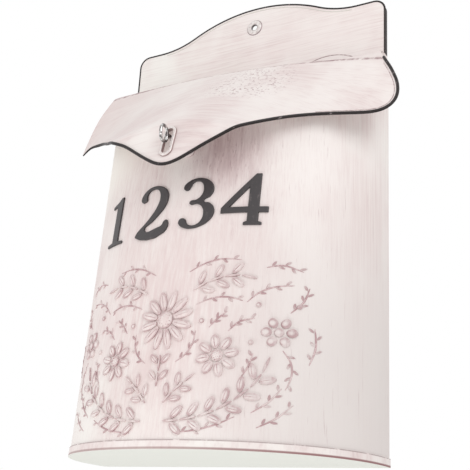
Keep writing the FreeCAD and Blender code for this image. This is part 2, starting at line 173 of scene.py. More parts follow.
plate_paint, tree, shader, coords, colour = brushed_paint(
    "plate_paint", (30, 900, 960), 0.8, 0.62, (2, 5, 1), (0, math.radians(6), 0)
)
place = split(tree, coords)
facing = split(tree, coords.node.outputs["Normal"])
wall = without(tree, step(tree, facing["Y"], 0.3, 0.6))
turned = product(tree, step(tree, place["Y"], -0.00595, -0.0056), wall)
rub = step(tree, noise(tree, coords, (90, 90, 90), 4.0, 0.6), 0.60, 0.72, 0.5)
edge_black = blend(tree, rub, BLACK_PAINT, (0.22, 0.18, 0.18))
clear = step(tree, place["Z"], 0.3442, 0.3448)
colour = blend(tree, product(tree, turned, clear), colour, edge_black)
set_colour(tree, shader, colour)
set_material("back_plate", plate_paint)


# Hanging eyelet: a thin steel ring clinched in the plate's crown, over which a screw
# head slips. Bare metal with the plate's paint left on it in places.

eyelet_steel, tree, shader, coords = new_material("eyelet_steel")
dirt = noise(tree, coords, (420, 420, 420), 4.0, 0.6)
colour = blend(tree, step(tree, dirt, 0.42, 0.60), (0.72, 0.64, 0.62), (0.80, 0.76, 0.74))
colour = blend(tree, step(tree, dirt, 0.60, 0.72), colour, (0.40, 0.28, 0.28))
# Painted shade: faces of the eyelet turned away from the front and up are darkened towards dark mauve.
front_facing = tree.nodes.new("ShaderNodeVectorMath")
front_facing.operation = "DOT_PRODUCT"
front_facing.inputs[1].default_value = (0, -0.97, 0.24)
tree.links.new(coords.node.outputs["Normal"], front_facing.inputs[0])
painted_side_shade = without(tree, step(tree, front_facing.outputs["Value"], 0.45, 0.80))
colour = blend(tree, product(tree, painted_side_shade, 0.85), colour, (0.30, 0.19, 0.185))
set_colour(tree, shader, colour)
shader.inputs["Metallic"].default_value = 0.45
shader.inputs["Roughness"].default_value = 0.36
relief_bump(tree, shader, dirt, 0.3, 0.0003)
set_material("slot_eyelet", eyelet_steel)

ring_steel, tree, shader, coords = new_material("ring_steel")
dirt = noise(tree, coords, (420, 420, 420), 4.0, 0.6)
place = split(tree, coords)
up = maths(tree, "SUBTRACT", place["Z"], 0.4026)
reach = maths(tree, "SQRT", total(tree, product(tree, up, up), product(tree, place["X"], place["X"])))
colour = blend(tree, step(tree, dirt, 0.40, 0.62), (0.80, 0.76, 0.74), (0.62, 0.55, 0.54))
colour = blend(tree, step(tree, reach, 0.0070, 0.0077, 0.9), colour, (0.22, 0.15, 0.16))
# Painted shade: the inside of the bore is painted near black as shade in the hole.
bore_shade = without(tree, step(tree, reach, 0.0030, 0.0036))
colour = blend(tree, bore_shade, colour, (0.12, 0.10, 0.10))
set_colour(tree, shader, colour)
shader.inputs["Metallic"].default_value = 0.35
shader.inputs["Roughness"].default_value = 0.4
relief_bump(tree, shader, dirt, 0.3, 0.0003)
set_material("hanging_eyelet", ring_steel)


# Body: one sheet bent round in a half oval, its sides running back to the wall.
# The paint is brushed up and down it. Leaf and flower forms are pressed out of the
# front, and their flanks are rubbed back to the mauve coat.

HALF_WIDTH = 0.130
FOOT_DEPTH = 0.1204
LEAN = 0.11233
PLATE_FRONT = 0.006
SIDE_POWER = 2.04
FRONT_POWER = 2.23


def body_front(x, z):
    """Y of the body's outer face at a place seen from the front."""
    share = max(1 - (abs(x) / HALF_WIDTH) ** SIDE_POWER, 0)
    return -((FOOT_DEPTH - LEAN * z) * share ** (1 / FRONT_POWER) + PLATE_FRONT)


body_paint, tree, shader, coords, colour = brushed_paint(
    "body_paint", (1050, 1050, 16), 0.55, 0.78, (4, 1, 7)
)
place = split(tree, coords)
out = maths(tree, "SUBTRACT", product(tree, place["Y"], -1.0), PLATE_FRONT)
depth = maths(tree, "SUBTRACT", FOOT_DEPTH, product(tree, place["Z"], LEAN))
across = maths(tree, "DIVIDE", maths(tree, "ABSOLUTE", place["X"]), HALF_WIDTH)
across = maths(tree, "POWER", across, SIDE_POWER)
front = maths(tree, "POWER", maths(tree, "DIVIDE", maths(tree, "MAXIMUM", out, 0.0), depth), FRONT_POWER)
raised = maths(tree, "SUBTRACT", total(tree, across, front), 1.0)
low_flank = step(tree, raised, 0.003, 0.008)
flank = product(tree, low_flank, without(tree, step(tree, raised, 0.018, 0.030)))
worn = step(tree, noise(tree, coords, (120, 120, 120), 4.0, 0.6, (1, 1, 1)), 0.36, 0.60)
streaks = noise(tree, coords, (330, 330, 9), 4.0, 0.6, (5, 5, 5))


def rubbed_field(x, z, near, far, amount, streaks):
    """Soft patch of the front where the coat is dragged thin."""
    dx = maths(tree, "SUBTRACT", place["X"], x)
    dz = maths(tree, "SUBTRACT", place["Z"], z)
    reach = maths(tree, "SQRT", total(tree, product(tree, dx, dx), product(tree, dz, dz)))
    within = without(tree, step(tree, reach, near, far))
    dragged = total(tree, step(tree, streaks, 0.30, 0.70, amount), 0.3 * amount)
    return product(tree, within, dragged)


relief_field = rubbed_field(0.0, 0.10, 0.02, 0.125, 0.80, streaks)
colour = blend(tree, relief_field, colour, PINK_WASH)
latch_field = rubbed_field(0.035, 0.230, 0.006, 0.042, 0.85, streaks)
colour = blend(tree, latch_field, colour, (0.56, 0.45, 0.45))
strokes = step(tree, noise(tree, coords, (760, 760, 90), 3.0, 0.6, (7, 7, 7)), 0.56, 0.68)
stroke_field = rubbed_field(0.028, 0.232, 0.010, 0.046, 0.55, strokes)
colour = blend(tree, stroke_field, colour, (0.40, 0.27, 0.28))
# Painted shade: the lower right of the front is painted darker, as if lit from above.
low = without(tree, step(tree, place["Z"], 0.06, 0.25))
lower_right_shade = product(tree, step(tree, place["X"], 0.0, 0.11), low)
colour = blend(tree, product(tree, lower_right_shade, 0.85), colour, (0.70, 0.645, 0.63))
hairs = step(tree, noise(tree, coords, (620, 620, 14), 3.0, 0.6, (2, 8, 3)), 0.64, 0.74)
hairs = product(tree, hairs, step(tree, place["X"], 0.02, 0.09, 0.5))
colour = blend(tree, hairs, colour, (0.50, 0.39, 0.39))
# Painted light: the upper left of the front, under the lid, is painted a lighter cream to lift the lid's shadow
# there.
left = without(tree, step(tree, place["X"], -0.09, -0.02))
light_under_lid = product(tree, step(tree, place["Z"], 0.20, 0.25, 0.8), left)
colour = blend(tree, light_under_lid, colour, (0.90, 0.86, 0.80))
rubbed_through = total(tree, product(tree, worn, 0.6), 0.25)
colour = blend(tree, product(tree, flank, rubbed_through), colour, MAUVE)
set_colour(tree, shader, colour)
set_material("body_shell", body_paint)


# Number on the body: plain serif figures pressed out of the sheet and painted
# charcoal, bent to the body's front.

figure_paint, tree, shader, coords = new_material("figure_paint")
wear = noise(tree, coords, (190, 190, 90), 5.0, 0.65)
colour = blend(tree, step(tree, wear, 0.58, 0.70, 0.5), (0.046, 0.040, 0.042), (0.14, 0.12, 0.12))
set_colour(tree, shader, colour)
shader.inputs["Roughness"].default_value = 0.42
relief_bump(tree, shader, wear, 0.4, 0.0004)

FIGURE_HEIGHT = 0.043
FIGURE_STRETCH = 1.2
FIGURE_FOOT = 0.167
FIGURE_RISE = 0.0011
# Outlines in a box one unit high, each a closed run of points, holes after the outer run.
FIGURES = {
    "one": [[(0.10, 0.00), (0.50, 0.00), (0.50, 0.05), (0.375, 0.075), (0.375, 1.00), (0.33, 1.00),
             (0.25, 0.93), (0.10, 0.87), (0.10, 0.82), (0.225, 0.84), (0.225, 0.075), (0.10, 0.05)]],
    "two": [[(0.04, 0.00), (0.62, 0.00), (0.66, 0.24), (0.61, 0.24), (0.56, 0.15), (0.50, 0.125), (0.22, 0.125),
             (0.36, 0.26), (0.50, 0.41), (0.59, 0.55), (0.62, 0.70), (0.60, 0.82), (0.53, 0.92), (0.43, 0.98),
             (0.31, 1.00), (0.19, 0.97), (0.10, 0.89), (0.06, 0.78), (0.08, 0.72), (0.14, 0.70), (0.19, 0.74),
             (0.18, 0.82), (0.21, 0.90), (0.29, 0.94), (0.38, 0.92), (0.44, 0.84), (0.46, 0.72), (0.43, 0.57),
             (0.36, 0.43), (0.24, 0.27), (0.04, 0.05)]],
    "three": [[(0.06, 0.16), (0.09, 0.08), (0.18, 0.02), (0.30, 0.00), (0.44, 0.03), (0.56, 0.11), (0.63, 0.23),
               (0.63, 0.36), (0.56, 0.47), (0.45, 0.53), (0.54, 0.60), (0.59, 0.70), (0.58, 0.82), (0.51, 0.93),
               (0.40, 0.99), (0.27, 1.00), (0.15, 0.95), (0.08, 0.86), (0.10, 0.79), (0.16, 0.78), (0.20, 0.84),
               (0.24, 0.92), (0.32, 0.94), (0.40, 0.88), (0.43, 0.77), (0.41, 0.65), (0.34, 0.57), (0.22, 0.54),
               (0.22, 0.49), (0.34, 0.48), (0.43, 0.41), (0.47, 0.29), (0.45, 0.15), (0.38, 0.07), (0.28, 0.06),
               (0.21, 0.11), (0.17, 0.20), (0.10, 0.22)]],
    "four": [[(0.40, 0.00), (0.62, 0.00), (0.62, 0.05), (0.57, 0.07), (0.57, 0.24), (0.70, 0.24), (0.70, 0.35),
              (0.57, 0.35), (0.57, 1.00), (0.50, 1.00), (0.02, 0.34), (0.02, 0.24), (0.42, 0.24), (0.42, 0.07),
              (0.37, 0.05), (0.37, 0.00)],
             [(0.42, 0.35), (0.14, 0.35), (0.42, 0.74)]],
}


def deselect():
    if bpy.context.object and bpy.context.object.mode != "OBJECT":
        bpy.ops.object.mode_set(mode="OBJECT")
    bpy.ops.object.select_all(action="DESELECT")


def finish_piece(piece, name, material, body):
    """Names a finished mesh, gives it its material and lets it ride."""
    piece.name = name
    piece.data.materials.clear()
    piece.data.materials.append(material)
    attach(piece, body)


def slice_upright(piece, low, high, pitch):
    """Cuts a flat mesh by upright planes, so that it can bend."""
    bpy.ops.object.mode_set(mode="EDIT")
    x = low
    while x < high:
        bpy.ops.mesh.select_all(action="SELECT")
        bpy.ops.mesh.bisect(plane_co=(x, 0, 0), plane_no=(1, 0, 0))
        x += pitch
    bpy.ops.object.mode_set(mode="OBJECT")


def figure(name, outlines, left):
    """A figure as a filled outline with a rounded edge, wrapped on the body."""
    curve = bpy.data.curves.new(name, "CURVE")
    curve.dimensions = "2D"
    curve.fill_mode = "BOTH"
    curve.extrude = FIGURE_RISE / 2
    curve.bevel_depth = 0.0005
    curve.bevel_resolution = 2
    curve.offset = -0.0005
    for outline in outlines:
        run = curve.splines.new("BEZIER" if name in ("two", "three") else "POLY")
        if run.type == "POLY":
            run.points.add(len(outline) - 1)
            for p, (x, z) in zip(run.points, outline):
                p.co = (x * FIGURE_HEIGHT * FIGURE_STRETCH, z * FIGURE_HEIGHT, 0, 1)
        else:
            run.bezier_points.add(len(outline) - 1)
            for p, (x, z) in zip(run.bezier_points, outline):
                p.co = (x * FIGURE_HEIGHT * FIGURE_STRETCH, z * FIGURE_HEIGHT, 0)
                p.handle_left_type = "AUTO"
                p.handle_right_type = "AUTO"
            run.resolution_u = 4
        run.use_cyclic_u = True
    piece = bpy.data.objects.new(name, curve)
    bpy.context.collection.objects.link(piece)
    deselect()
    bpy.context.view_layer.objects.active = piece
    piece.select_set(True)
    bpy.ops.object.convert(target="MESH")
    piece = bpy.context.object
    piece.data.transform(Matrix.Rotation(math.radians(90), 4, "X"))
    piece.data.transform(Matrix.Translation((left, 0, FIGURE_FOOT)))
    slice_upright(piece, -0.1, 0.1, 0.003)
    for v in piece.data.vertices:
        v.co.y += body_front(v.co.x, v.co.z) - FIGURE_RISE / 2
    bpy.ops.object.shade_smooth_by_angle(angle=math.radians(35))
    finish_piece(piece, "figure_" + name, figure_paint, "box")


for name, left in (("one", -0.087), ("two", -0.046), ("three", -0.004), ("four", 0.0335)):
    figure(name, FIGURES[name], left)


# Relief on the body: the pressed leaves and petals swell a little in the middle, and
# finer stems, veins and seeds are pressed between them. All of it is part of the
# sheet and carries its paint, rubbed back to the mauve along the ridges.

ridge_paint, tree, shader, coords = new_material("ridge_paint")
wear = noise(tree, coords, (240, 240, 240), 4.0, 0.6)
fading = noise(tree, coords, (14, 14, 14), 2.0, 0.5)
colour = blend(tree, step(tree, wear, 0.40, 0.62), (0.44, 0.27, 0.285), (0.64, 0.49, 0.495))
colour = blend(tree, step(tree, fading, 0.54, 0.70, 0.6), colour, (0.74, 0.66, 0.645))
set_colour(tree, shader, colour)
shader.inputs["Roughness"].default_value = 0.5
relief_bump(tree, shader, wear, 0.3, 0.0003)

STEM_WIDTH = 0.0017
LEAF_GAP = 0.0009
LEAF_LEAN = 44.0
PRESS = 0.0011
SWELLING = 0.0002


def turned(x, z, angle):
    turn = math.radians(angle)
    return x * math.cos(turn) - z * math.sin(turn), x * math.sin(turn) + z * math.cos(turn)


def bloom(x, z, reach, petals, start):
    """Place, length, width and angle of a round eye and its petals."""
    eye = 0.28 * reach
    forms = [(x, z, 2 * eye, 1.98 * eye, 0)]
    length = reach - eye - LEAF_GAP
    middle = eye + LEAF_GAP + length / 2
    for i in range(petals):
        angle = start + 360 * i / petals
        dx, dz = turned(middle, 0, angle)
        forms.append((x + dx, z + dz, length, 4.9 * middle / petals, angle))
    return forms


def sprig(joints, leaves, length, width):
    """A stem of slim ovals, with a pair of leaves on each of its first lengths."""
    forms = []
    for i, ((x0, z0), (x1, z1)) in enumerate(zip(joints, joints[1:])):
        x0, z0, x1, z1 = x0 / 1000, z0 / 1000, x1 / 1000, z1 / 1000
        run = math.hypot(x1 - x0, z1 - z0)
        heading = math.degrees(math.atan2(z1 - z0, x1 - x0))
        forms.append(((x0 + x1) / 2, (z0 + z1) / 2, run - LEAF_GAP, STEM_WIDTH, heading))
        for side in (-1, 1) if i < leaves else ():
            angle = heading + side * LEAF_LEAN
            root_x, root_z = turned(run / 2, side * (STEM_WIDTH / 2 + LEAF_GAP), heading)
            half_x, half_z = turned(length / 2, 0, angle)
            forms.append((x0 + root_x + half_x, z0 + root_z + half_z, length, width, angle))
    return forms


half = bloom(0.044, 0.066, 0.0155, 8, 12) + bloom(0.083, 0.084, 0.0115, 6, 0)
half += sprig(
    [(9, 19.5), (22, 20), (35, 22.5), (47, 27), (58, 34), (68, 43), (75, 54), (79, 66.5)], 6, 0.0115, 0.0052
)
half += sprig([(20, 116), (31, 122), (43, 126), (55, 127), (67, 124)], 3, 0.011, 0.0048)
half += sprig([(7, 32), (14, 40), (22, 47), (30, 53.5)], 2, 0.0095, 0.0044)
BERRIES = [(0.066, 0.076), (0.069, 0.104), (0.030, 0.092), (0.094, 0.104)]
half += [(x, z, 0.0036, 0.0035, 0) for x, z in BERRIES]
middle = bloom(0, 0.094, 0.023, 12, 15) + sprig([(0, 44), (0, 55), (0, 68)], 2, 0.009, 0.0044)

# Fine sprays between the larger forms: runs of places on the right half, in millimetres.
SPRAYS = [
    [(24, 105), (35, 109), (47, 110), (58, 107)],
    [(61, 106), (68, 113), (78, 118), (90, 120)],
    [(89, 99), (96, 108), (99, 119)],
    [(86, 71), (91, 63), (92, 53), (89, 43)],
    [(13, 62), (20, 67), (25, 75), (26, 85)],
    [(15, 131), (27, 137), (40, 140), (54, 139)],
    [(18, 11.5), (33, 13), (48, 17), (60, 23)],
    [(62, 51), (66, 59), (68, 68)],
    [(50, 84), (57, 91), (67, 94)],
    [(70, 26), (80, 34), (87, 44)],
    [(36, 87), (41, 93), (48, 99)],
    [(101, 62), (104, 75), (103, 89)],
    [(74, 16), (85, 23), (94, 33)],
    [(72, 133), (83, 135), (95, 131)],
]


def press(piece):
    """Moves a mesh laid out in the front plane on to the body's face."""
    for v in piece.data.vertices:
        v.co.y += body_front(v.co.x, v.co.z)


def cushion(x, z, length, width, angle, swell):
    """Low oval swelling, laid out in the front plane."""
    bpy.ops.mesh.primitive_uv_sphere_add(segments=14, ring_count=8, radius=1.0)
    piece = bpy.context.object
    for v in piece.data.vertices:
        v.co.y *= swell if v.co.y < 0 else 0.0003
    piece.data.transform(Matrix.Diagonal((length / 2, 1, width / 2, 1)))
    piece.data.transform(Matrix.Rotation(math.radians(-angle), 4, "Y"))
    piece.data.transform(Matrix.Translation((x, 0, z)))
    return piece


def join_pieces(pieces):
    deselect()
    for piece in pieces:
        piece.select_set(True)
    bpy.context.view_layer.objects.active = pieces[0]
    bpy.ops.object.join()
    bpy.ops.object.shade_smooth()
    return bpy.context.object


def bead_mesh(name, points, radius, ends=None, fade=0):
    """Round bead along a line, slimmer towards both ends or over its first few points where asked."""
    curve = bpy.data.curves.new(name, "CURVE")
    curve.dimensions = "3D"
    curve.bevel_depth = radius
    curve.bevel_resolution = 3 if ends is None else 1
    curve.use_fill_caps = True
    run = curve.splines.new("POLY")
    run.points.add(len(points) - 1)
    for i, (p, co) in enumerate(zip(run.points, points)):
        p.co = (*co, 1)
        if ends is not None:
            p.radius = ends + (1 - ends) * math.sin(math.pi * i / (len(points) - 1))
        elif i < fade:
            p.radius = 0.45 + 0.55 * i / fade
    piece = bpy.data.objects.new(name, curve)
    bpy.context.collection.objects.link(piece)
    deselect()
    bpy.context.view_layer.objects.active = piece
    piece.select_set(True)
    bpy.ops.object.convert(target="MESH")
    return bpy.context.object


def bead(name, points, radius, material, body, fade=0):
    piece = bead_mesh(name, points, radius, fade=fade)
    bpy.ops.object.shade_smooth()
    finish_piece(piece, name, material, body)


def softened(points, count):
    """Places along a smooth line through a few given ones."""
    out = []
    last = len(points) - 1
    for k in range(count):
        t = last * k / (count - 1)
        i = min(int(t), last - 1)
        t -= i
        a, b = points[i], points[i + 1]
        before = points[i - 1] if i > 0 else a
        after = points[i + 2] if i + 2 <= last else b
        h = (2 * t ** 3 - 3 * t ** 2 + 1, t ** 3 - 2 * t ** 2 + t, 3 * t ** 2 - 2 * t ** 3, t ** 3 - t ** 2)
        out.append(tuple(
            h[0] * a[n] + h[1] * (b[n] - before[n]) / 2 + h[2] * b[n] + h[3] * (after[n] - a[n]) / 2
            for n in (0, 1)
        ))
    return out


swellings = []
ridges = []
for side in (1, -1):
    for x, z, length, width, angle in half + (middle if side > 0 else []):
        angle = angle if side > 0 else 180 - angle
        swell = PRESS + SWELLING + 0.1 * width
        swellings.append(cushion(side * x, z, 0.97 * length, 0.97 * width, angle, swell))
        if length > 1.3 * width and width > 0.003:
            run = []
            for i in range(7):
                u = length * (0.08 + 0.72 * i / 6 - 0.5)
                dx, dz = turned(u, 0, angle)
                top = swell * math.sqrt(max(1 - (2 * u / length) ** 2, 0))
                run.append((side * x + dx, -max(top, PRESS), z + dz))
            ridges.append(bead_mesh("vein", run, 0.00028, ends=0.4))
    for points in SPRAYS:
        line = [(side * x / 1000, z / 1000) for x, z in softened(points, 13)]
        ridges.append(bead_mesh("stem", [(x, -0.0001, z) for x, z in line], 0.0006, ends=0.35))
        for i in range(2, 12, 2):
            (x0, z0), (x1, z1) = line[i - 1], line[i + 1]
            heading = math.degrees(math.atan2(z1 - z0, x1 - x0))
            way = heading + (38 if i % 4 else -38)
            dx, dz = turned(0.0031, 0, way)
            swellings.append(cushion(line[i][0] + dx, line[i][1] + dz, 0.0048, 0.0019, way, 0.0009))
for x, z, reach in ((0, 0.094, 0.023), (0.044, 0.066, 0.0155), (-0.044, 0.066, 0.0155)):
    for i in range(19):
        dx, dz = turned(0.23 * reach * math.sqrt((i + 0.3) / 19), 0, 137.5 * i)
        top = (PRESS + SWELLING + 0.1 * 0.55 * reach) * 0.86
        ridges.append(cushion(x + dx, z + dz, 0.0011, 0.0011, 0, top + 0.0004))
swelling = join_pieces(swellings)
press(swelling)
finish_piece(swelling, "relief_swellings", body_paint, "box")
ridge = join_pieces(ridges)
press(ridge)
finish_piece(ridge, "relief_ridges", ridge_paint, "box")


# Bottom pan: a shallow tray pushed up round the body's foot. Its rim shows as the
# hem, pinkish where the paint is thin, and its flat underside is a paler coat.

pan_paint, tree, shader, coords, colour = brushed_paint("pan_paint", (300, 300, 120), 0.8, 0.9, (9, 2, 4))
place = split(tree, coords)
under = without(tree, step(tree, place["Z"], 0.00002, 0.0003))
colour = blend(tree, under, colour, (0.80, 0.81, 0.76))
foot_top = without(tree, step(tree, place["Z"], 0.0012, 0.0022))
foot = product(tree, step(tree, place["Z"], 0.00005, 0.0003), foot_top)
crown = step(tree, place["Z"], 0.0057, 0.0064)
rightward = step(tree, place["X"], 0.0, 0.12, 0.35)
breaks = step(tree, noise(tree, coords, (130, 130, 130), 3.0, 0.6, (3, 3, 3)), 0.30, 0.48, 0.9)
colour = blend(tree, product(tree, crown, breaks), colour, (0.34, 0.26, 0.26))
foot_line = product(tree, foot, total(tree, rightward, 0.65))
colour = blend(tree, foot_line, colour, (0.29, 0.155, 0.155))
set_colour(tree, shader, colour)
set_material("bottom_pan", pan_paint)


# Hinge leaves: arched plates fixed to the back plate and painted with it, each rolled
# round the hinge wire.

# Painted shade: a thin dark mottled line, laid along the upper edges of the hinge leaves and inside the lid's
# hem, stands for the shade at their step.
step_shade_line, tree, shader, coords = new_material("step_shade_line")
wear = noise(tree, coords, (260, 260, 260), 4.0, 0.6)
colour = blend(tree, step(tree, wear, 0.42, 0.66), (0.34, 0.24, 0.25), (0.66, 0.57, 0.56))
set_colour(tree, shader, colour)
shader.inputs["Roughness"].default_value = 0.6

LEAF_MIDDLE = 0.076
LEAF_FRONT = 0.0067
ARCH_CENTRE = 0.304
ARCH_RADIUS = 0.050

for side, name in ((1, "right"), (-1, "left")):
    set_material("hinge_leaf_" + name, plate_paint)
    arch = []
    for i in range(27):
        x = -0.026 + 0.002 * i
        height = ARCH_CENTRE + math.sqrt(ARCH_RADIUS ** 2 - x ** 2)
        arch.append(Vector((side * LEAF_MIDDLE + x, -LEAF_FRONT, height)))
    bead("leaf_seam_" + name, arch, 0.0004, step_shade_line, "box")


# Hinge wire, and the plain steel pieces inside the latch.

bare_steel, tree, shader, coords = new_material("bare_steel")
steel_mottle = noise(tree, coords, (300, 300, 300), 4.0, 0.6)
set_colour(tree, shader, blend(tree, steel_mottle, (0.30, 0.28, 0.27), (0.52, 0.49, 0.47)))
shader.inputs["Metallic"].default_value = 0.9
shader.inputs["Roughness"].default_value = 0.42
relief_bump(tree, shader, steel_mottle, 0.15, 0.0002)
for name in ("hinge_wire", "latch_backing_washer", "shank_clip"):
    set_material(name, bare_steel)


# Lid: a sheet bowed both ways, its rear edge rolled round the hinge wire. Brushed
# along its width, with a patch of small dents above the tongue.

lid_paint, tree, shader, coords, colour = brushed_paint(
    "lid_paint", (30, 1150, 160), 0.2, 0.86, (6, 3, 2)
)
place = split(tree, coords)
# The left of the lid is painted darker and pinker: partly the paint's own tone, partly painted shade away from
# the light on the right.
left_tone_and_shade = step(tree, product(tree, place["X"], -1.0), 0.03, 0.13, 0.42)
colour = blend(tree, left_tone_and_shade, colour, (0.70, 0.60, 0.59))
near = tree.nodes.new("ShaderNodeVectorMath")
near.operation = "DISTANCE"
near.inputs[1].default_value = (0.030, -0.062, 0.312)
tree.links.new(coords, near.inputs[0])
patch = without(tree, step(tree, near.outputs["Value"], 0.022, 0.050))
pits = noise(tree, coords, (330, 620, 620), 3.0, 0.6, (4, 4, 4))
dents = product(tree, step(tree, pits, 0.56, 0.64), patch)
colour = blend(tree, product(tree, dents, 0.95), colour, (0.42, 0.28, 0.29))
crest = maths(tree, "ABSOLUTE", total(tree, place["Y"], 0.0363))
crest = without(tree, step(tree, crest, 0.0005, 0.0015))
chips = step(tree, noise(tree, coords, (110, 110, 110), 4.0, 0.7), 0.36, 0.62)
colour = blend(tree, product(tree, crest, chips), colour, (0.33, 0.21, 0.22))
set_colour(tree, shader, colour)
bump = shader.inputs["Normal"].links[0].from_node
rough = bump.inputs["Height"].links[0].from_socket
tree.links.new(maths(tree, "SUBTRACT", rough, product(tree, dents, 3.0)), bump.inputs["Height"])
set_material("lid", lid_paint)

SHEET_START = 0.006
HALF_SPAN = 0.150


def lid_face(x, out):
    """Height of the lid's outer face, from the distance out in front of the plate."""
    clear = max(out - SHEET_START, 0) * 1000
    bow = 1 - math.exp(-((clear / 49) ** 2.6))
    skew = 1 - math.exp(-((clear / 12) ** 2))
    flange = 343.08 - 0.06 * clear
    fall = 341.1 - (out * 1000 - 30)
    tongue = 341.1 - 90.5 - 4 * (out * 1000 - 120.5)
    low = min(flange, fall, tongue)
    middle = low - math.log(sum(math.exp(low - v) for v in (flange, fall, tongue)))
    share = x / HALF_SPAN
    return (middle - 75 * bow * share ** 2 - 9.6 * skew * share) / 1000


# Black edge of the lid: the cut edge is bound in a thin black strip, with a bare
# white line just inside it.

edge_paint, tree, shader, coords = new_material("edge_paint")
chips = noise(tree, coords, (150, 150, 150), 5.0, 0.65)
colour = blend(tree, step(tree, chips, 0.62, 0.70, 0.6), BLACK_PAINT, (0.30, 0.25, 0.25))
set_colour(tree, shader, colour)
shader.inputs["Roughness"].default_value = 0.45
shader.inputs["Specular IOR Level"].default_value = 0.25
relief_bump(tree, shader, chips, 0.3, 0.0003)

RIGHT_OUTLINE = [
    (0, 210.8), (14, 214.8), (32, 225.8), (50, 236.3), (66, 247.3), (84, 259.0), (104, 266.0), (124, 268.5),
    (140.5, 270.5), (150.5, 277.5), (153.5, 290.0), (148.0, 308.0), (138.0, 326.0), (135.4, 331.0),
]
LEFT_OUTLINE = [
    (14, 215.9), (32, 226.8), (44, 234.1), (54, 238.0), (60, 240.5), (66, 244.0), (74, 246.9), (84, 252.2),
    (96, 259.2), (108, 265.0), (120, 267.5), (130, 269.2), (134, 265.6), (137, 260.2),
]


def on_lid(x, z):
    """The place on the lid's outer face at a distance from the middle and a height, in metres."""
    near, far = (0.012 if x > 0 else 0.020), 0.140
    for _ in range(40):
        middle = (near + far) / 2
        if lid_face(x, middle) > z:
            near = middle
        else:
            far = middle
    return Vector((x, -(near + PLATE_FRONT), z))


def lid_edge_point(side, x, z):
    """A point of the lid's outline, on its outer face."""
    fade = min(1, (343.08 - z) / (343.08 - (268.5 if side > 0 else 261.0)))
    share = x / 150
    sideways = max(side, 0) * 4 * share ** 2 * fade
    return on_lid((side * x + sideways) / 1000, (z - side * 9.6 * share * fade) / 1000)


def smooth_run(points, count):
    """Even points along a smooth line through the given ones."""
    curve = bpy.data.curves.new("guide", "CURVE")
    curve.dimensions = "3D"
    curve.resolution_u = 16
    run = curve.splines.new("BEZIER")
    run.bezier_points.add(len(points) - 1)
    for p, co in zip(run.bezier_points, points):
        p.co = co
        p.handle_left_type = "AUTO"
        p.handle_right_type = "AUTO"
    guide = bpy.data.objects.new("guide", curve)
    bpy.context.collection.objects.link(guide)
    mesh = guide.to_mesh()
    fine = [v.co.copy() for v in mesh.vertices]
    guide.to_mesh_clear()
    bpy.data.objects.remove(guide)
    lengths = [0.0]
    for a, b in zip(fine, fine[1:]):
        lengths.append(lengths[-1] + (b - a).length)
    out, j = [], 0
    for i in range(count):
        want = lengths[-1] * i / (count - 1)
        while j < len(fine) - 2 and lengths[j + 1] < want:
            j += 1
        share = (want - lengths[j]) / max(lengths[j + 1] - lengths[j], 1e-9)
        out.append(fine[j].lerp(fine[j + 1], min(max(share, 0), 1)))
    return out


def lid_rim():
    """The lid's own cut edges that lie on its outer face, as pairs of ends."""
    mesh = nodes["lid"].data
    runs = set()
    for polygon in mesh.polygons:
        corners = [mesh.vertices[i].co for i in polygon.vertices]
        if polygon.normal.z > 0.2:
            continue
        for a, b in zip(corners, corners[1:] + corners[:1]):
            if all(abs(p.z - lid_face(p.x, -p.y - PLATE_FRONT)) < 0.00025 for p in (a, b)):
                runs.add((tuple(a), tuple(b)))
    return [(Vector(a), Vector(b)) for a, b in runs]


def snapped(p, runs):
    """The nearest place to a point on a set of straight runs."""
    best = p
    reach = 0.004
    for a, b in runs:
        along = b - a
        if along.length < 1e-7:
            continue
        t = min(max((p - a).dot(along) / along.length_squared, 0), 1)
        q = a + along * t
        if (q - p).length < reach:
            reach = (q - p).length
            best = q
    return best


SMOOTHINGS = 10
BEAD_TOP = 0.3235
HEM_INSET = 0.0026

outline = [lid_edge_point(-1, x, z) for x, z in LEFT_OUTLINE[::-1]]
outline += [lid_edge_point(1, x, z) for x, z in RIGHT_OUTLINE]
rim = lid_rim()
edge = [snapped(p, rim) + Vector((0, 0, -0.0003)) for p in smooth_run(outline, 260)]
for _ in range(SMOOTHINGS):
    edge = edge[:1] + [(a + p * 2 + b) / 4 for a, p, b in zip(edge, edge[1:], edge[2:])] + edge[-1:]
while edge[-1].z > BEAD_TOP:
    edge.pop()
bead("lid_black_edge", edge, 0.0013, edge_paint, "lid", fade=14)
# Inside it on the right wing, a thin dark line painted as the shade along the hem's fold.
hem = []
for before, p, after in list(zip(edge, edge[1:], edge[2:]))[:-4]:
    if p.x < 0.100:
        continue
    way = Vector((before.z - after.z, 0, after.x - before.x)).normalized()
    inside = p + way * HEM_INSET
    hem.append(on_lid(inside.x, inside.z))
bead("lid_hem_line", hem, 0.0003, step_shade_line, "lid")


# Black edge of the back plate: the front corner of its turned edge, as a fine bead.

SHOULDER = 0.3986
SHOULDER_REACH = 0.104
CROWN_TOP = 0.4225
CROWN_RADIUS = 0.150
PLATE_HALF = 0.129
CORNER = 0.010


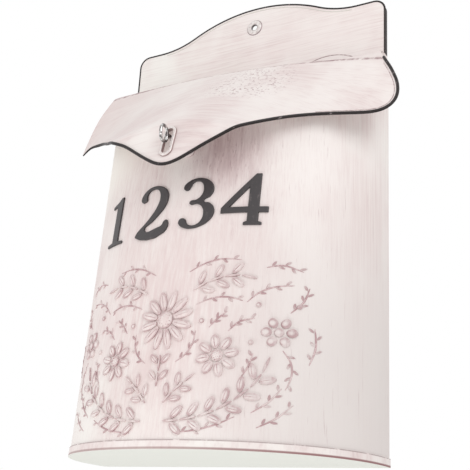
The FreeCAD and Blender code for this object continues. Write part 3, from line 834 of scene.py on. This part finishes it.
def plate_outline():
    """Points round the plate, from the foot of one side over the crown to the other."""
    centre = CROWN_TOP - CROWN_RADIUS
    rise = SHOULDER - centre
    dip = (SHOULDER_REACH ** 2 + rise ** 2 - CROWN_RADIUS ** 2) / (2 * (CROWN_RADIUS - rise))
    lean = math.atan2(SHOULDER_REACH, SHOULDER + dip - centre)
    right = [(PLATE_HALF, 0.001 + 0.0965 * i) for i in range(5)]
    for i in range(9):
        turn = math.radians(90 * i / 8)
        x = PLATE_HALF - CORNER + CORNER * math.cos(turn)
        right.append((x, SHOULDER - CORNER + CORNER * math.sin(turn)))
    for i in range(13):
        turn = lean * i / 12
        right.append((SHOULDER_REACH - dip * math.sin(turn), SHOULDER + dip - dip * math.cos(turn)))
    for i in range(1, 25):
        turn = lean * (1 - i / 24)
        right.append((CROWN_RADIUS * math.sin(turn), centre + CROWN_RADIUS * math.cos(turn)))
    return right + [(-x, z) for x, z in right[-2::-1]]


LID_LINE = 0.3452
shown = [(x, z) for x, z in plate_outline() if z > 0.36]
shown = [(PLATE_HALF, LID_LINE)] + shown + [(-PLATE_HALF, LID_LINE)]
bead(
    "plate_black_edge", [Vector((x, -PLATE_FRONT + 0.0003, z)) for x, z in shown], 0.0009,
    edge_paint, "box",
)

# Painted shade: a faint grey-green line just inside the plate's crown stands for the shade where its turned
# edge bends.
crease_shade_paint, tree, shader, coords = new_material("crease_shade_paint")
wear = noise(tree, coords, (60, 60, 60), 4.0, 0.6)
set_colour(tree, shader, blend(tree, wear, (0.62, 0.61, 0.55), (0.74, 0.70, 0.66)))
shader.inputs["Roughness"].default_value = 0.6
crease = [(0.975 * x, z - 0.0026) for x, z in shown if abs(x) < SHOULDER_REACH]
bead(
    "plate_crease", [Vector((x, -PLATE_FRONT, z)) for x, z in crease], 0.0004,
    crease_shade_paint, "box",
)


# Turning eye and its bush: the eye of bright steel wire, the turned steel bush painted with the body.

bright_steel, tree, shader, coords = new_material("bright_steel")
steel_mottle = noise(tree, coords, (260, 260, 260), 4.0, 0.6)
# Painted reflection: the eye's colour runs in patches down to near black, standing for dark surroundings
# mirrored in the bright steel.
colour = blend(tree, step(tree, steel_mottle, 0.42, 0.60), (0.14, 0.125, 0.125), (0.66, 0.65, 0.64))
set_colour(tree, shader, colour)
shader.inputs["Metallic"].default_value = 1.0
shader.inputs["Roughness"].default_value = 0.24
relief_bump(tree, shader, steel_mottle, 0.1, 0.0002)
set_material("turn_eye", bright_steel)
set_material("latch_bush", body_paint)


# Floor, lights and camera.

floor_coat, tree, shader, coords = new_material("floor_coat")
grain = noise(tree, coords, (6, 6, 6), 2.0, 0.5)
set_colour(tree, shader, blend(tree, grain, (0.80, 0.80, 0.79), (0.84, 0.84, 0.83)))
shader.inputs["Roughness"].default_value = 0.8
bpy.ops.mesh.primitive_plane_add(size=12, location=(0, 0, -1.2))
floor = bpy.context.object
floor.name = "floor"
floor.data.materials.append(floor_coat)

world = bpy.data.worlds.new("studio")
bpy.context.scene.world = world
world.use_nodes = True
tree = world.node_tree
tree.nodes.clear()
path = tree.nodes.new("ShaderNodeLightPath")
seen = maths(tree, "MAXIMUM", path.outputs["Is Camera Ray"], path.outputs["Is Glossy Ray"])
seen = maths(tree, "MAXIMUM", seen, path.outputs["Is Transmission Ray"])
white = tree.nodes.new("ShaderNodeBackground")
white.inputs["Color"].default_value = (1, 1, 1, 1)
white.inputs["Strength"].default_value = 1.0
soft = tree.nodes.new("ShaderNodeBackground")
soft.inputs["Color"].default_value = (1, 0.99, 0.98, 1)
soft.inputs["Strength"].default_value = 0.81
mix = tree.nodes.new("ShaderNodeMixShader")
tree.links.new(seen, mix.inputs["Fac"])
tree.links.new(soft.outputs["Background"], mix.inputs[1])
tree.links.new(white.outputs["Background"], mix.inputs[2])
sky = tree.nodes.new("ShaderNodeOutputWorld")
tree.links.new(mix.outputs["Shader"], sky.inputs["Surface"])


def soft_box(name, place, aim, size, power):
    light = bpy.data.lights.new(name, "AREA")
    light.shape = "SQUARE"
    light.size = size
    light.energy = power
    lamp = bpy.data.objects.new(name, light)
    bpy.context.collection.objects.link(lamp)
    way = Vector(aim) - Vector(place)
    lamp.matrix_world = Matrix.Translation(place) @ way.to_track_quat("-Z", "Y").to_matrix().to_4x4()


soft_box("key", (0.95, -0.72, 0.75), (0.05, -0.1, 0.28), 0.7, 4.8)
soft_box("fill", (-0.90, -0.95, -0.25), (-0.05, -0.1, 0.15), 0.9, 3.7)
soft_box("under", (0.10, -0.75, -0.95), (0, -0.06, 0.0), 0.9, 4.9)

camera = bpy.data.cameras.new("camera")
camera.sensor_width = 36
camera.lens = 919.83 / 470 * 36
eye = bpy.data.objects.new("camera", camera)
bpy.context.collection.objects.link(eye)
forward = Vector((-0.4776, 0.8168, 0.3238)).normalized()
up = Vector((0.1162, -0.3066, 0.9447))
side = forward.cross(up).normalized()
up = side.cross(forward)
turn = Matrix((side, up, -forward)).transposed().to_4x4()
eye.matrix_world = Matrix.Translation((0.37485, -0.66280, -0.06308)) @ turn
bpy.context.scene.camera = eye
